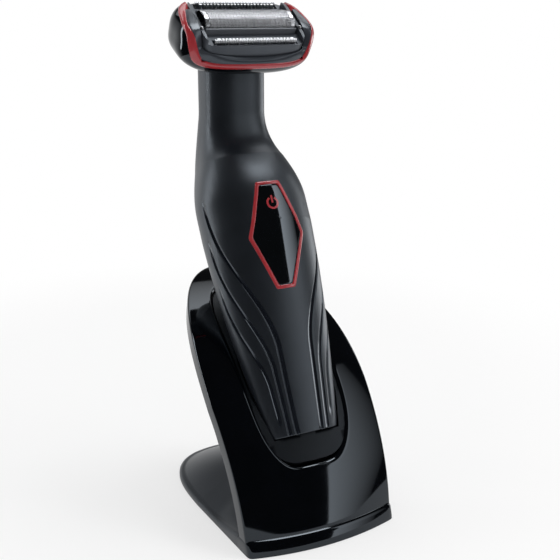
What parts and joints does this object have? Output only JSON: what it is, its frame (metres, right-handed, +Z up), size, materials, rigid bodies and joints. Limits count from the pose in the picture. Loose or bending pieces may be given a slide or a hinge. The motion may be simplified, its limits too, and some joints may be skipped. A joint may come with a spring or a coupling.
{
  "type": "body groomer in charging stand",
  "caption": "Body groomer leaning in a curved charging stand: bent-neck grip with flowing lines, hexagonal power key, tilted foil head with comb trimmers, glossy shield on a flat foot.",
  "frame": {"origin": "on the table under the middle of the whole set: halfway between toe and back, and halfway across", "axes": "+Z up, -Y towards the toe and the front of the grip, +X to the right seen from the front"},
  "size_m": [0.0664, 0.0946, 0.193],
  "materials": {
    "gloss_black": "deep gloss moulding",
    "cradle_grey": "fine matte moulding",
    "foot_satin": "satin moulding",
    "black_plastic": "plain black moulding",
    "soft_grip": "soft-touch satin charcoal",
    "pad_rubber": "soft black",
    "steel": "plain bright steel",
    "foil_steel": "thin perforated steel",
    "contact_brass": "plated contact",
    "red_trim": "muted red",
    "panel_black": "gloss key",
    "board_green": "bare circuit board",
    "cell_wrap": "plain shrink sleeve",
    "bezel_grey": "satin dark grey"
  },
  "bodies": {
    "stand": {"shield": "gloss_black", "back_cover": "black_plastic", "cradle": "cradle_grey", "foot": "foot_satin", "base_plate": "black_plastic", "foot_pads": "pad_rubber", "ballast": "steel", "dc_socket": "black_plastic", "charge_plug": "black_plastic", "stand_screws": "steel"},
    "handle": {"handle_shell": "soft_grip", "end_cap": "black_plastic", "charge_pins": "contact_brass", "panel_trim": "red_trim", "tact_switch": "black_plastic", "circuit_board": "board_green", "battery_cell": "cell_wrap", "battery_tabs": "contact_brass", "chassis": "black_plastic", "motor_can": "steel", "motor_mount": "black_plastic", "motor_screws": "steel", "neck_collar": "soft_grip", "head_bowl": "gloss_black", "head_ring": "red_trim", "head_bezel": "bezel_grey", "guide_rod": "steel"},
    "key": {"power_key": "panel_black", "power_mark": "red_trim"},
    "rotor": {"motor_shaft": "steel"},
    "drive": {"drive_bridge": "black_plastic"},
    "cassette": {"cassette_frame": "bezel_grey"},
    "foil_unit": {"foil_frame": "bezel_grey", "foil": "foil_steel"},
    "cutter": {"inner_cutter": "steel"},
    "front_trimmer": {"front_comb": "steel"},
    "front_moving_blade": {"front_blade": "steel"},
    "rear_trimmer": {"rear_comb": "steel"},
    "rear_moving_blade": {"rear_blade": "steel"}
  },
  "joints": [
    {"name": "handle_lift", "type": "slide", "parent": "stand", "child": "handle", "axis": [0, 0.4848, 0.8746], "range_m": [0, 0.06]},
    {"name": "power_press", "type": "slide", "parent": "handle", "child": "key", "axis": [0, 0.8746, -0.4848], "range_m": [0, 0.0006], "stiffness_N_per_m": 900, "springref_m": -0.0006},
    {"name": "motor_spin", "type": "hinge", "parent": "handle", "child": "rotor", "pos_m": [0, 0.03381, 0.165], "axis": [0, 0, 1], "continuous": true},
    {"name": "drive_stroke", "type": "slide", "parent": "handle", "child": "drive", "axis": [1, 0, 0], "range_m": [-0.001, 0.001]},
    {"name": "cassette_release", "type": "slide", "parent": "handle", "child": "cassette", "axis": [0, -0.5878, 0.809], "range_m": [0, 0.012]},
    {"name": "foil_float", "type": "slide", "parent": "cassette", "child": "foil_unit", "axis": [0, 0.5878, -0.809], "range_m": [0, 0.0012], "stiffness_N_per_m": 600, "springref_m": -0.0006},
    {"name": "cutter_stroke", "type": "slide", "parent": "foil_unit", "child": "cutter", "axis": [1, 0, 0], "range_m": [-0.001, 0.001]},
    {"name": "front_float", "type": "slide", "parent": "cassette", "child": "front_trimmer", "axis": [0, 0.5878, -0.809], "range_m": [0, 0.0008], "stiffness_N_per_m": 600, "springref_m": -0.0004},
    {"name": "front_stroke", "type": "slide", "parent": "front_trimmer", "child": "front_moving_blade", "axis": [1, 0, 0], "range_m": [-0.001, 0.001]},
    {"name": "rear_float", "type": "slide", "parent": "cassette", "child": "rear_trimmer", "axis": [0, 0.5878, -0.809], "range_m": [0, 0.0008], "stiffness_N_per_m": 600, "springref_m": -0.0004},
    {"name": "rear_stroke", "type": "slide", "parent": "rear_trimmer", "child": "rear_moving_blade", "axis": [1, 0, 0], "range_m": [-0.001, 0.001]}
  ],
  "couplings": [
    {"joint": "cutter_stroke", "follows": "drive_stroke", "ratio": 1},
    {"joint": "front_stroke", "follows": "drive_stroke", "ratio": 1},
    {"joint": "rear_stroke", "follows": "drive_stroke", "ratio": 1}
  ]
}
